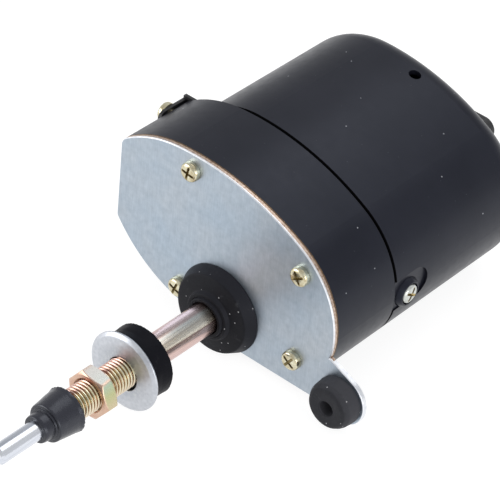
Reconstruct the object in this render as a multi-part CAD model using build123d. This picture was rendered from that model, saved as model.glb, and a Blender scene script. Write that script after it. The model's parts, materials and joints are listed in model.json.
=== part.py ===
from build123d import *
import os
from math import acos, atan2, cos, degrees, hypot, radians, sin, sqrt, tan

# A rear-switch wiper motor. Millimetres, +Z up. The origin is on the output shaft
# axis, at the front face of the cover plate. The shaft points to -Y, the motor to +Y.

# Stations along Y
plate_thickness = 1.5
gasket_thickness = 0.5
seam_y = 28.6
can_rear_y = 94.0
web_thickness = 2.6

# Outline of the gear housing, as places in X and Z
right_x = 42.5
left_x = -42.5
bottom_z = -11.7
corner_z = 11.8
low_corner_r = 23.5
right_corner_r = 29.6
top_r = 83.3
left_shoulder_r = 39.0
right_corner_turn = 60.2
top_turn = 94.9
edge_corner_r = 3.5
belly_r = 47.7
belly_end_x = -15.5
belly_end_z = -6.27
foot_z = 11.53
foot_corner_r = 2.0

# Shells
housing_wall = 2.5
can_wall = 1.6
can_shoulder_r = 28.0
can_foot_r = 18.0
can_foot_share = 0.9
can_edge_r = 9.0
seam_chamfer = 0.4
plate_chamfer = 0.25
spigot_wall = 2.0
spigot_length = 12.6
spigot_gap = 0.15
vent_r = 2.0
vent_x = 2.5
vent_y = 82.6

# Pads for the screws that hold the can
pad_y = 35.0
pad_end_y = 38.6
pad_z = 11.2
left_pad_z = 18.0
pad_rise = 1.4
pad_depth = 0.9
pad_r = 5.4
pad_boss_r = 6.2
pad_boss_depth = 5.5

# Screws
screw_r = 2.0
screw_head_r = 3.2
screw_head_height = 2.3
screw_crown_r = 1.9
screw_rim_height = 1.3
screw_length = 13.0
can_screw_length = 7.0
screw_boss_r = 4.4
head_clearance = 0.15
screw_boss_length = 12.0
top_screw_inset = 5.7
top_screw_angle = 90.7
right_screw_inset = 6.45
right_screw_angle = 47.6
low_screw_inset = 6.4
low_screw_angle = -55.0
belly_screw_inset = 5.15
belly_screw_angle = -106.1

# Lug with its grommet
lug_x = 47.2
lug_z = -6.1
lug_r = 8.7
lug_foot_x = 36.5
lug_slope = 23.5
lug_hole_r = 5.0
lug_grommet_r = 7.9
lug_grommet_rim_r = 7.5
lug_grommet_height = 6.8
lug_grommet_face_bevel = 1.2
lug_grommet_side_bevel = 1.4
lug_grommet_bore_r = 2.5
lug_grommet_back_r = 6.2
lug_grommet_back = 2.4

# Bushing that carries the output shaft
bushing_r = 5.0
bushing_length = 73.0
bushing_bore_r = 3.6
bushing_flange_r = 8.5
bushing_flange_thickness = 1.6
bushing_neck_r = 5.5
rivet_collar_r = 6.2
rivet_collar_height = 1.4
bush_seat_r = 4.0
bush_length = 9.0

# Rubber and steel pieces on the bushing
base_grommet_r = 14.9
base_shoulder_r = 13.8
base_shoulder_y = 2.6
base_edge_r = 12.2
base_edge_y = 4.2
base_lip_r = 6.3
base_lip_slope = 0.4
base_lip_root_y = 5.9
base_height = 7.3
panel_washer_r = 11.6
panel_washer_y = -33.2
dish_front_y = -43.0
dish_thickness = 1.0
dish_rim_r = 13.0
dish_rim_y = -41.9
dish_flat_r = 10.6
dish_hole_r = 5.6
dish_rim_lip = 0.5
dish_rim_depth = 0.8
dish_corner = 0.25
nut_front_y = -57.3
nut_thickness = 5.0
nut_flats = 14.0
nut_turn = 52.0
nut_chamfer = 0.8
nut_chamfer_depth = 0.48
cap_overlap = 7.4
cap_flange_r = 7.4
cap_flange_thickness = 1.2
cap_body_r = 7.0
cap_shoulder_r = 6.1
cap_shoulder_reach = 1.5
cap_nose_r = 4.5
cap_reach = 5.4
cap_tip_r = 4.3

# Output shaft
shaft_r = 3.0
shaft_reach = 15.6
shaft_groove_depth = 0.3
shaft_groove_width = 0.6
shaft_rear_y = 19.0
shaft_chamfer = 0.8
running_gap = 0.06
washer_r = 5.5
washer_thickness = 0.9
rear_post_r = 5.6
rear_post_y = 9.6

# Gear train
pinion_teeth = 10
idler_teeth = 50
idler_module = 0.65
crank_pinion_teeth = 10
crank_teeth = 48
crank_module = 0.7
output_teeth = 14
sector_teeth = 35
sector_module = 0.9
pinion_relief = 0.4
addendum = 0.85
dedendum = 1.15
tooth_share = 0.43
pressure_angle = 20.0
motor_x = 5.5
motor_z = 17.3
idler_angle = 175.0
crank_angle = 16.0
sector_angle = 110.0
swing_half_angle = 21.0
sector_half_span = 37.0
arm_length = 13.0
arm_angle = 95.0
crank_pin_angle = 53.0
crank_pin_wall = 1.6
sector_front_y = 4.8
sector_rear_y = 8.2
rod_front_y = 9.3
rod_rear_y = 12.4
rod_open_gap = 0.35
crank_front_y = 14.0
crank_rear_y = 18.8
idler_front_y = 20.2
idler_rear_y = 24.2
arm_end_r = 3.3
arm_width = 5.6
sector_hub_r = 4.6
stud_r = 2.0
link_pin_r = 1.5
rod_width = 4.6
rod_end_r = 3.3
idler_hub_r = 3.6
wheel_web = 1.8
rim_width = 2.4
crank_spindle_r = 2.0
crank_shoulder_r = 2.3
idler_spindle_r = 1.5
clip_r = 3.0
clip_thickness = 0.6
end_float = 0.2
spindle_front_y = 13.1
boss_height = 1.2
post_r = 3.4

# Motor
armature_shaft_r = 2.5
armature_nose_r = 1.8
armature_front_y = 19.7
armature_rear_y = 91.0
core_r = 18.4
core_front_y = 46.0
core_rear_y = 66.0
slot_count = 10
slot_width = 4.2
slot_depth = 8.0
slot_mouth = 1.6
slot_lip = 1.2
winding_gap = 0.25
winding_reach = 4.4
winding_outer_r = 15.8
winding_inner_r = 4.6
winding_bevel = 1.4
commutator_r = 8.2
commutator_front_y = 75.0
commutator_rear_y = 83.0
commutator_bars = 12
bar_gap = 0.5
bar_gap_depth = 1.2
air_gap = 0.6
magnet_thickness = 4.7
magnet_span = 124.0
magnet_front_y = 44.0
magnet_rear_y = 69.0
yoke_thickness = 1.9
yoke_front_y = 42.0
yoke_rear_y = 72.0
bearing_outer_r = 5.0
bearing_length = 6.0
bearing_boss_r = 7.2
rear_cup_r = 6.8
brush_plate_thickness = 2.0
brush_plate_hole_r = 9.6
brush_width = 4.0
brush_height = 5.0
brush_length = 7.5
brush_gap = 0.08
brush_box_wall = 1.0
brush_box_length = 9.0
brush_box_gap = 1.4
spring_strip = 0.5

# Rear switch
switch_r = 11.0
switch_thickness = 2.4
lever_thickness = 2.4
lever_gap = 0.1
lever_hub_r = 6.0
lever_tip_r = 3.9
lever_rise = 11.1
lever_elbow_reach = 6.5
lever_tip_reach = 14.4
lever_pin_r = 2.0
lever_pin_head_r = 3.6
lever_pin_head = 1.4

# Side bracket
bracket_thickness = 1.1
bracket_y = 17.2
bracket_foot_z = 27.0
bracket_top_z = 40.3
bracket_gap = 0.1
bracket_corner_r = 2.3
bracket_flange_reach = 4.3
bracket_flange_rise = 0.9
bracket_flange_foot_z = 35.3
bracket_screw_r = 1.5
bracket_screw_y = 22.0
bracket_screw_z = 37.7
bracket_screw_length = 6.0
bracket_boss_r = 4.0
bracket_boss_depth = 5.0


def polar(centre, radius, angle):
    """A point at a distance and an angle in degrees from a centre."""
    return (centre[0] + radius * cos(radians(angle)), centre[1] + radius * sin(radians(angle)))


def at_station(y):
    """The plane across the shaft axis at a station, with its own axes along X and Z."""
    return Plane((0, y, 0), x_dir=(1, 0, 0), z_dir=(0, -1, 0))


def slab(face, front, rear):
    """A flat outline in X and Z made solid between two stations."""
    return extrude(at_station(rear) * face, rear - front)


def disc(place, radius):
    return Pos(*place) * Circle(radius)


def round_bar(place, radius, front, rear):
    return slab(disc(place, radius), front, rear)


def tube(place, outer, inner, front, rear):
    return slab(disc(place, outer) - disc(place, inner), front, rear)


def turned(profile, place=(0, 0)):
    """A profile of radius and station points turned about a line along Y."""
    body = revolve(make_face(Polyline(*profile, close=True)), Axis.Y, 360)
    return Pos(place[0], 0, place[1]) * body


def bar_between(start, end, width):
    """A straight bar with square ends between two places in X and Z."""
    length = hypot(end[0] - start[0], end[1] - start[1])
    angle = degrees(atan2(end[1] - start[1], end[0] - start[0]))
    middle = ((start[0] + end[0]) / 2, (start[1] + end[1]) / 2)
    return Pos(*middle) * Rot(0, 0, angle) * Rectangle(length, width)


# Places of the gear centres
output_place = (0, 0)
motor_place = (motor_x, motor_z)
idler_distance = idler_module * (pinion_teeth + idler_teeth) / 2
idler_place = polar(motor_place, idler_distance, idler_angle)
crank_distance = crank_module * (crank_pinion_teeth + crank_teeth) / 2
crank_place = polar(idler_place, crank_distance, crank_angle)
sector_distance = sector_module * (output_teeth + sector_teeth) / 2
sector_place = polar(output_place, sector_distance, sector_angle)
link_place = polar(sector_place, arm_length, arm_angle)
crank_radius = arm_length * sin(radians(swing_half_angle))
crank_pin_place = polar(crank_place, crank_radius, crank_pin_angle)

housing_front_y = plate_thickness + gasket_thickness
web_front_y = seam_y - web_thickness
spigot_end_y = seam_y + spigot_length

# Stations of the cap and the shaft tip, counted from the end of the bushing
cap_rear_y = cap_overlap - bushing_length
cap_shoulder_y = -bushing_length - cap_shoulder_reach
cap_front_y = -bushing_length - cap_reach
shaft_tip_y = cap_front_y - shaft_reach

# Radii around the armature
magnet_inner_r = core_r + air_gap
magnet_outer_r = magnet_inner_r + magnet_thickness
yoke_outer_r = magnet_outer_r + yoke_thickness


def arc_centre(start, end, radius):
    """The centre of an arc through two places, on the left of the way from the first to the second."""
    length = hypot(end[0] - start[0], end[1] - start[1])
    along = ((end[0] - start[0]) / length, (end[1] - start[1]) / length)
    reach = sqrt(radius**2 - (length / 2) ** 2)
    middle = ((start[0] + end[0]) / 2, (start[1] + end[1]) / 2)
    return (middle[0] - along[1] * reach, middle[1] + along[0] * reach)


def direction(centre, place):
    """The angle in degrees of a place seen from a centre."""
    return degrees(atan2(place[1] - centre[1], place[0] - centre[0]))


# Centres of the outline's arcs, and the end of the sloping run under the belly
right_centre = (right_x - right_corner_r, corner_z)
low_centre = (right_x - low_corner_r, corner_z)
top_centre = polar(right_centre, top_r - right_corner_r, right_corner_turn + 180)
foot = (left_x, foot_z)
belly_end = (belly_end_x, belly_end_z)
belly_centre = arc_centre(foot, belly_end, belly_r)
foot_turn = direction(belly_centre, foot)
belly_turn = direction(belly_centre, belly_end)
base_start = (belly_end_x + (bottom_z - belly_end_z) / tan(radians(belly_turn + 90)), bottom_z)

cover_screw_places = [
    polar(top_centre, top_r - top_screw_inset, top_screw_angle),
    polar(right_centre, right_corner_r - right_screw_inset, right_screw_angle),
    polar(low_centre, low_corner_r - low_screw_inset, low_screw_angle),
    polar(belly_centre, belly_r - belly_screw_inset, belly_screw_angle),
]


def closed_outline(shoulder_r, shoulder_start):
    """The right corner, top arc, left shoulder, left wall, belly and base as one face."""
    shoulder_centre = polar(top_centre, top_r - shoulder_r, shoulder_start)
    reach = max(-1.0, (left_x - shoulder_centre[0]) / shoulder_r)
    shoulder_end = degrees(acos(reach))
    edges = [
        CenterArc(right_centre, right_corner_r, 0, right_corner_turn),
        CenterArc(top_centre, top_r, right_corner_turn, shoulder_start - right_corner_turn),
        CenterArc(shoulder_centre, shoulder_r, shoulder_start, shoulder_end - shoulder_start),
        Line(polar(shoulder_centre, shoulder_r, shoulder_end), foot),
        CenterArc(belly_centre, belly_r, foot_turn, belly_turn - foot_turn),
        Line(belly_end, base_start),
        Line(base_start, (low_centre[0], bottom_z)),
        CenterArc(low_centre, low_corner_r, -90, 90),
    ]
    return make_face(edges)


def left_corners(face):
    """The two ends of the left wall, the lower one first."""
    return face.vertices().group_by(Axis.X)[0].sort_by(Axis.Y)


def housing_outline():
    """The outline shared by plate, gasket and housing, with a small corner at the shoulder."""
    face = closed_outline(left_shoulder_r, top_turn)
    face = fillet(left_corners(face)[1], edge_corner_r)
    return fillet(left_corners(face)[0], foot_corner_r)


def can_outline():
    """The rounder outline of the can, whose shoulder runs smoothly into the left wall."""
    shoulder_x = left_x + can_shoulder_r - top_centre[0]
    face = closed_outline(can_shoulder_r, degrees(acos(shoulder_x / (top_r - can_shoulder_r))))
    low, high = left_corners(face)
    half_turn = (foot_turn + 180) / 2
    wall_limit = (high.Y - low.Y) / tan(radians(half_turn))
    return fillet(low, min(can_foot_r, wall_limit * can_foot_share))


housing_face = housing_outline()
can_face = can_outline()


def inner(face, wall):
    """The same outline moved inwards by a wall."""
    return offset(face, -wall, kind=Kind.INTERSECTION)


def lug_outline():
    """The ear of the cover plate that holds the small grommet."""
    centre = (lug_x, lug_z)
    upper = polar(centre, lug_r, 90 - lug_slope)
    upper_root = (upper[0] - lug_r, upper[1] + lug_r * tan(radians(lug_slope)))
    lower = polar(centre, lug_r, 270 - lug_slope)
    inside_x = right_x - low_corner_r
    lower_foot = (lug_foot_x, bottom_z)
    web = Polyline(upper, upper_root, (inside_x, upper_root[1]), (inside_x, bottom_z), lower_foot, lower,
                   centre, close=True)
    return disc(centre, lug_r) + make_face(web)


def pan_screw(length, radius=screw_r):
    """A pan head screw with its head towards -Y and its seat at station 0."""
    profile = [
        (0, -screw_head_height),
        (screw_crown_r, -screw_head_height),
        (screw_head_r, -screw_rim_height),
        (screw_head_r, 0),
        (radius, 0),
        (radius, length),
        (0, length),
    ]
    return turned(profile)


def side_screw(place, y, side, length, radius=screw_r):
    """A pan head screw lying across the motor, its head on the side given."""
    return Pos(place[0], y, place[1]) * Rot(0, 0, 90 * side) * pan_screw(length, radius)


def cover_plate():
    face = housing_face + lug_outline()
    for place in cover_screw_places:
        face -= disc(place, screw_r)
    face -= disc(output_place, bushing_neck_r)
    face -= disc((lug_x, lug_z), lug_hole_r)
    plate = slab(face, 0, plate_thickness)
    rim = plate.faces().sort_by(Axis.Y)[0].outer_wire().edges()
    return chamfer(rim, plate_chamfer)


def gasket():
    face = housing_face - inner(housing_face, housing_wall)
    for place in cover_screw_places:
        face += disc(place, screw_boss_r)
    for place in cover_screw_places:
        face -= disc(place, screw_r)
    return slab(face & housing_face, plate_thickness, housing_front_y)


def cover_screws():
    return Compound([Pos(x, 0, z) * pan_screw(screw_length) for x, z in cover_screw_places])


def spigot_face():
    outside = inner(can_face, can_wall + spigot_gap)
    return outside - inner(can_face, can_wall + spigot_gap + spigot_wall)


def pad_block(side, z, depth, radius, start):
    """A round block across the can wall at a screw pad."""
    x = right_x if side > 0 else left_x
    block = Cylinder(radius, depth, align=(Align.CENTER, Align.CENTER, Align.MIN))
    return Pos(x - side * start, pad_y, z) * Rot(0, -90 * side, 0) * block


def pad_recess(side, z, depth, growth):
    """The pressed recess of a screw pad: straight from the seam, with a round end."""
    radius = pad_r + growth
    seam_side = Align.MAX if side > 0 else Align.MIN
    run = Rectangle(2 * radius, pad_end_y - seam_y, align=(Align.CENTER, seam_side))
    x = right_x if side > 0 else left_x
    wall = Plane((x, pad_end_y, z + pad_rise), x_dir=(0, 0, 1), z_dir=(-side, 0, 0))
    return extrude(wall * (Circle(radius) + run), depth)


def seam_bevel(face, station, side):
    """A ring that cuts a bevel all round an outline, on one side of a station."""
    block = slab(offset(face, 1), station, station + side * seam_chamfer)
    core = extrude(at_station(station) * offset(face, -seam_chamfer), -side * seam_chamfer, taper=-45)
    return block - core


def gear_housing():
    cavity = inner(housing_face, housing_wall)
    shell = slab(housing_face, housing_front_y, seam_y) - slab(cavity, housing_front_y, web_front_y)
    boss_end = housing_front_y + screw_boss_length
    for place in cover_screw_places:
        shell += slab(disc(place, screw_boss_r) & housing_face, housing_front_y, boss_end)
    relief_r = sector_module * (output_teeth / 2 + addendum) + pinion_relief
    shell -= round_bar(output_place, relief_r, housing_front_y, sector_rear_y + pinion_relief)
    shell += slab(spigot_face(), seam_y, spigot_end_y)
    shell += round_bar(output_place, rear_post_r, rear_post_y, web_front_y)
    shell += round_bar(idler_place, post_r, web_front_y - boss_height, web_front_y)
    shell += round_bar(motor_place, bearing_boss_r, seam_y, seam_y + bearing_length - web_thickness)
    for side, z in ((1, pad_z), (-1, left_pad_z)):
        start = can_wall + spigot_gap + pad_depth
        shell += pad_block(side, z, pad_boss_depth, pad_boss_r, start)
        shell -= pad_recess(side, z, start, can_wall + spigot_gap)
        shell -= pad_block(side, z, can_screw_length + pad_depth, screw_r, 0)
    boss = Cylinder(bracket_boss_r, bracket_boss_depth, align=(Align.CENTER, Align.CENTER, Align.MIN))
    boss = Pos(left_x, bracket_screw_y, bracket_screw_z) * Rot(0, 90, 0) * boss
    shell += boss & slab(housing_face, housing_front_y, seam_y)
    shell -= Pos(left_x, bracket_screw_y, bracket_screw_z) * Rot(0, 90, 0) * Cylinder(
        bracket_screw_r, 2 * bracket_screw_length)
    for place in cover_screw_places:
        shell -= round_bar(place, screw_r, 0, screw_length)
    shell -= round_bar(output_place, bush_seat_r, rear_post_y, rear_post_y + bush_length)
    shell -= round_bar(output_place, shaft_r + running_gap * 5, rear_post_y, shaft_rear_y + 1)
    shell -= round_bar(motor_place, bearing_outer_r, web_front_y, seam_y + bearing_length)
    shell -= round_bar(idler_place, idler_spindle_r, web_front_y - boss_height, seam_y)
    shell -= round_bar(crank_place, crank_shoulder_r, web_front_y, seam_y)
    return shell - seam_bevel(housing_face, seam_y, -1)


def motor_can():
    body = slab(can_face, seam_y, can_rear_y)
    rear_edges = body.faces().sort_by(Axis.Y)[-1].edges()
    body = fillet(rear_edges, can_edge_r)
    cavity = slab(inner(can_face, can_wall), seam_y, can_rear_y - can_wall)
    rear_edges = cavity.faces().sort_by(Axis.Y)[-1].edges()
    cavity = chamfer(rear_edges, can_edge_r / 2)
    cup_front = can_rear_y - can_wall - bearing_length
    for side, z in ((1, pad_z), (-1, left_pad_z)):
        cavity -= pad_recess(side, z, pad_depth + can_wall, can_wall)
    body -= cavity
    body += tube(motor_place, rear_cup_r, bearing_outer_r, cup_front, can_rear_y - can_wall)
    for side, z in ((1, pad_z), (-1, left_pad_z)):
        body -= pad_recess(side, z, pad_depth, 0)
        body -= pad_block(side, z, can_screw_length, screw_r, 0)
    vent = Cylinder(vent_r, can_wall * 8)
    vent_z = can_face.bounding_box().max.Y
    body -= Pos(vent_x, vent_y, vent_z) * vent
    return body - seam_bevel(can_face, seam_y, 1)


def can_screws():
    seats = [(right_x - pad_depth, pad_z, 1), (left_x + pad_depth, left_pad_z, -1)]
    return Compound([side_screw((x, z), pad_y, side, can_screw_length - pad_depth) for x, z, side in seats])


def threaded_bushing():
    profile = [
        (bushing_bore_r, plate_thickness + rivet_collar_height),
        (rivet_collar_r, plate_thickness + rivet_collar_height),
        (rivet_collar_r, plate_thickness),
        (bushing_neck_r, plate_thickness),
        (bushing_neck_r, 0),
        (bushing_flange_r, 0),
        (bushing_flange_r, -bushing_flange_thickness),
        (bushing_r, -bushing_flange_thickness),
        (bushing_r, -bushing_length + shaft_chamfer),
        (bushing_r - shaft_chamfer, -bushing_length),
        (bush_seat_r, -bushing_length),
        (bush_seat_r, -bushing_length + bush_length),
        (bushing_bore_r, -bushing_length + bush_length),
    ]
    return turned(profile)


def shaft_bush(front):
    profile = [
        (shaft_r + running_gap, front),
        (bush_seat_r, front),
        (bush_seat_r, front + bush_length),
        (shaft_r + running_gap, front + bush_length),
    ]
    return turned(profile)


def base_grommet():
    profile = [
        (bushing_flange_r, 0),
        (base_grommet_r, 0),
        (base_shoulder_r, -base_shoulder_y),
        (base_edge_r, -base_edge_y),
        (base_lip_r, -base_lip_root_y),
        (base_lip_r - base_lip_slope, -base_height),
        (bushing_r, -base_height),
        (bushing_r, -bushing_flange_thickness),
        (bushing_flange_r, -bushing_flange_thickness),
    ]
    body = turned(profile)
    head_r = screw_head_r + head_clearance
    for place in cover_screw_places:
        if hypot(*place) < base_grommet_r + head_r:
            body -= round_bar(place, head_r, -screw_head_height - head_clearance, 0)
    return body


def panel_washer():
    front = dish_front_y + dish_thickness
    seat_r = dish_flat_r - dish_corner
    profile = [
        (bushing_r, front),
        (seat_r, front),
        (panel_washer_r, front + dish_thickness),
        (panel_washer_r, panel_washer_y),
        (bushing_r, panel_washer_y),
    ]
    return turned(profile)


def dished_washer():
    front = dish_front_y
    profile = [
        (dish_hole_r, front),
        (dish_flat_r, front),
        (dish_rim_r, dish_rim_y),
        (dish_rim_r - dish_rim_lip, dish_rim_y + dish_rim_depth),
        (dish_flat_r - dish_corner, front + dish_thickness),
        (dish_hole_r, front + dish_thickness),
    ]
    return turned(profile)


def hex_nut():
    body = slab(Rot(0, 0, nut_turn) * RegularPolygon(nut_flats / 2, 6, major_radius=False),
                nut_front_y, nut_front_y + nut_thickness)
    corner_r = nut_flats / sqrt(3)
    profile = [
        (0, nut_front_y),
        (corner_r - nut_chamfer, nut_front_y),
        (corner_r, nut_front_y + nut_chamfer_depth),
        (corner_r, nut_front_y + nut_thickness - nut_chamfer_depth),
        (corner_r - nut_chamfer, nut_front_y + nut_thickness),
        (0, nut_front_y + nut_thickness),
    ]
    body &= turned(profile)
    return body - round_bar(output_place, bushing_r, nut_front_y - 1, nut_front_y + nut_thickness + 1)


def rubber_cap():
    bore = shaft_r + running_gap
    profile = [
        (bushing_r, cap_rear_y),
        (cap_flange_r, cap_rear_y),
        (cap_flange_r, cap_rear_y - cap_flange_thickness),
        (cap_body_r, cap_rear_y - cap_flange_thickness),
        (cap_shoulder_r, cap_shoulder_y),
        (cap_nose_r, cap_shoulder_y),
        (cap_tip_r, cap_front_y),
        (bore, cap_front_y),
        (bore, -bushing_length),
        (bushing_r - shaft_chamfer, -bushing_length),
        (bushing_r, -bushing_length + shaft_chamfer),
    ]
    return turned(profile)


def lug_grommet():
    profile = [
        (lug_grommet_bore_r, -lug_grommet_height),
        (lug_grommet_rim_r - lug_grommet_face_bevel, -lug_grommet_height),
        (lug_grommet_rim_r, lug_grommet_side_bevel - lug_grommet_height),
        (lug_grommet_r, 0),
        (lug_hole_r, 0),
        (lug_hole_r, plate_thickness),
        (lug_grommet_back_r, plate_thickness),
        (lug_grommet_back_r, plate_thickness + lug_grommet_back),
        (lug_grommet_bore_r, plate_thickness + lug_grommet_back),
    ]
    return turned(profile, (lug_x, lug_z))


def side_bracket():
    """A strip up the left wall, with a flange bent in behind the rear edge of the housing."""
    corner_low = (Align.MAX, Align.MIN, Align.MIN)
    rear_y = seam_y + bracket_gap + bracket_thickness
    strip = Box(bracket_thickness, seam_y - bracket_y, bracket_top_z - bracket_foot_z, align=corner_low)
    strip = Pos(left_x, bracket_y, bracket_foot_z) * strip
    corner = strip.edges().filter_by(Axis.X).group_by(Axis.Z)[-1].sort_by(Axis.Y)[0]
    strip = fillet(corner, bracket_corner_r)
    flange_height = bracket_top_z + bracket_flange_rise - bracket_flange_foot_z
    turn = Box(bracket_thickness, rear_y - seam_y, flange_height, align=corner_low)
    strip += Pos(left_x, seam_y, bracket_flange_foot_z) * turn
    align = (Align.MIN, Align.MAX, Align.MIN)
    flange = Box(bracket_flange_reach, bracket_thickness, flange_height, align=align)
    strip += Pos(left_x, rear_y, bracket_flange_foot_z) * flange
    hole = Rot(0, 90, 0) * Cylinder(bracket_screw_r, 4 * bracket_thickness)
    return strip - Pos(left_x, bracket_screw_y, bracket_screw_z) * hole


def bracket_screw():
    seat = (left_x - bracket_thickness, bracket_screw_z)
    return side_screw(seat, bracket_screw_y, -1, bracket_screw_length, bracket_screw_r)


def gear_face(teeth, module, first_tooth):
    """The outline of a spur gear with one tooth centred on the angle given."""
    pitch_r = module * teeth / 2
    tip_r = pitch_r + addendum * module
    root_r = pitch_r - dedendum * module
    half = 180 * tooth_share / teeth
    slope = degrees(tan(radians(pressure_angle)))
    tip_half = half - slope * addendum * module / tip_r
    root_half = half + slope * dedendum * module / root_r
    points = []
    for tooth in range(teeth):
        angle = first_tooth + 360 * tooth / teeth
        points.append(polar((0, 0), root_r, angle - root_half))
        points.append(polar((0, 0), tip_r, angle - tip_half))
        points.append(polar((0, 0), tip_r, angle + tip_half))
        points.append(polar((0, 0), root_r, angle + root_half))
    return make_face(Polyline(*points, close=True))


def gear(place, teeth, module, first_tooth, bore, front, rear):
    face = Pos(*place) * gear_face(teeth, module, first_tooth) - disc(place, bore)
    return slab(face, front, rear)


def wheel(place, teeth, module, first_tooth, bore, hub, front, rear):
    """A gear with a hub and a rim joined by a thinner web."""
    body = gear(place, teeth, module, first_tooth, bore, front, rear)
    rim_r = module * (teeth / 2 - dedendum) - rim_width
    recess = disc(place, rim_r) - disc(place, hub)
    depth = (rear - front - wheel_web) / 2
    return body - slab(recess, front, front + depth) - slab(recess, rear - depth, rear)


def armature_pinion():
    return gear(motor_place, pinion_teeth, idler_module, idler_angle, armature_nose_r,
                idler_front_y, idler_rear_y)


def idler_wheel():
    first = idler_angle + 180 + 180 / idler_teeth
    return wheel(idler_place, idler_teeth, idler_module, first, idler_spindle_r + running_gap,
                 idler_hub_r, idler_front_y, idler_rear_y)


def idler_pinion():
    return gear(idler_place, crank_pinion_teeth, crank_module, crank_angle, idler_spindle_r + running_gap,
                crank_front_y, idler_front_y)


def crank_gear():
    first = crank_angle + 180 + 180 / crank_teeth
    body = wheel(crank_place, crank_teeth, crank_module, first, crank_spindle_r + running_gap,
                 crank_radius + link_pin_r + crank_pin_wall, crank_front_y, crank_rear_y)
    return body - round_bar(crank_pin_place, link_pin_r, crank_front_y - 1, crank_rear_y + 1)


def crank_pin():
    return round_bar(crank_pin_place, link_pin_r, rod_rear_y + rod_open_gap, crank_rear_y)


def sector_gear():
    """A toothed sector with its hub and the arm that the connecting rod pushes."""
    toward = sector_angle + 180
    first = toward + 180 / sector_teeth
    reach = 2 * sector_distance
    start = polar((0, 0), reach, toward - sector_half_span)
    end = polar((0, 0), reach, toward + sector_half_span)
    wedge = make_face(Polyline((0, 0), start, polar((0, 0), reach, toward), end, close=True))
    face = gear_face(sector_teeth, sector_module, first) & wedge
    face = Pos(*sector_place) * face
    face += disc(sector_place, sector_hub_r)
    face += bar_between(sector_place, link_place, arm_width)
    face += disc(link_place, arm_end_r)
    face -= disc(sector_place, stud_r + running_gap)
    face -= disc(link_place, link_pin_r)
    return slab(face, sector_front_y, sector_rear_y)


def connecting_rod():
    face = bar_between(link_place, crank_pin_place, rod_width)
    face += disc(link_place, rod_end_r)
    face += disc(crank_pin_place, rod_end_r)
    face -= disc(link_place, link_pin_r + running_gap)
    face -= disc(crank_pin_place, link_pin_r + running_gap)
    return slab(face, rod_front_y, rod_rear_y)


def output_pinion():
    return gear(output_place, output_teeth, sector_module, sector_angle, shaft_r,
                sector_front_y, sector_rear_y)


def output_shaft():
    profile = [
        (0, shaft_tip_y),
        (shaft_r - shaft_chamfer, shaft_tip_y),
        (shaft_r, shaft_tip_y + shaft_chamfer),
        (shaft_r, cap_front_y),
        (shaft_r - shaft_groove_depth, cap_front_y),
        (shaft_r - shaft_groove_depth, cap_front_y + shaft_groove_width),
        (shaft_r, cap_front_y + shaft_groove_width),
        (shaft_r, shaft_rear_y),
        (0, shaft_rear_y),
    ]
    return turned(profile)


def armature_shaft():
    nose = round_bar(motor_place, armature_nose_r, armature_front_y, idler_rear_y)
    return nose + round_bar(motor_place, armature_shaft_r, idler_rear_y, armature_rear_y)


def armature_core():
    face = disc(motor_place, core_r) - disc(motor_place, armature_shaft_r)
    middle = core_r - slot_lip - slot_depth / 2
    for slot in range(slot_count):
        turn = Pos(*motor_place) * Rot(0, 0, 360 * slot / slot_count)
        face -= turn * Pos(middle, 0) * Rectangle(slot_depth, slot_width)
        face -= turn * Pos(core_r, 0) * Rectangle(2 * slot_lip + 1, slot_mouth)
    return slab(face, core_front_y, core_rear_y)


def windings():
    """The coils: a bundle at each end of the core and a bar in every slot."""
    ends = []
    for start, direction in ((core_front_y, -1), (core_rear_y, 1)):
        reach = start + direction * winding_reach
        profile = [
            (winding_inner_r, start),
            (winding_inner_r, reach - direction * winding_bevel),
            (winding_inner_r + winding_bevel, reach),
            (winding_outer_r - 2 * winding_bevel, reach),
            (winding_outer_r, reach - direction * 2 * winding_bevel),
            (winding_outer_r, start),
        ]
        ends.append(turned(profile, motor_place))
    body = ends[0] + ends[1]
    middle = core_r - slot_lip - slot_depth / 2
    size = (slot_depth - 2 * winding_gap, slot_width - 2 * winding_gap)
    for slot in range(slot_count):
        turn = Pos(*motor_place) * Rot(0, 0, 360 * slot / slot_count)
        body += slab(turn * Pos(middle, 0) * Rectangle(*size), core_front_y, core_rear_y)
    return body - round_bar(motor_place, armature_shaft_r, core_front_y - 2 * winding_reach,
                            core_rear_y + 2 * winding_reach)


def commutator():
    face = disc(motor_place, commutator_r) - disc(motor_place, armature_shaft_r)
    for bar in range(commutator_bars):
        turn = Pos(*motor_place) * Rot(0, 0, 360 * (bar + 0.5) / commutator_bars)
        face -= turn * Pos(commutator_r, 0) * Rectangle(2 * bar_gap_depth, bar_gap)
    return slab(face, commutator_front_y, commutator_rear_y)


def front_bearing():
    return tube(motor_place, bearing_outer_r, armature_shaft_r + running_gap, web_front_y,
                web_front_y + bearing_length)


def rear_bearing():
    rear = can_rear_y - can_wall
    return tube(motor_place, bearing_outer_r, armature_shaft_r + running_gap, rear - bearing_length, rear)


def yoke_ring():
    return tube(motor_place, yoke_outer_r, magnet_outer_r, yoke_front_y, yoke_rear_y)


def magnets():
    """Two curved magnets, above and below the armature."""
    ring = disc((0, 0), magnet_outer_r) - disc((0, 0), magnet_inner_r)
    reach = 2 * magnet_outer_r
    solids = []
    for middle in (90, 270):
        start = polar((0, 0), reach, middle - magnet_span / 2)
        end = polar((0, 0), reach, middle + magnet_span / 2)
        wedge = make_face(Polyline((0, 0), start, polar((0, 0), reach, middle), end, close=True))
        solids.append(slab(Pos(*motor_place) * (ring & wedge), magnet_front_y, magnet_rear_y))
    return Compound(solids)


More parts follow.
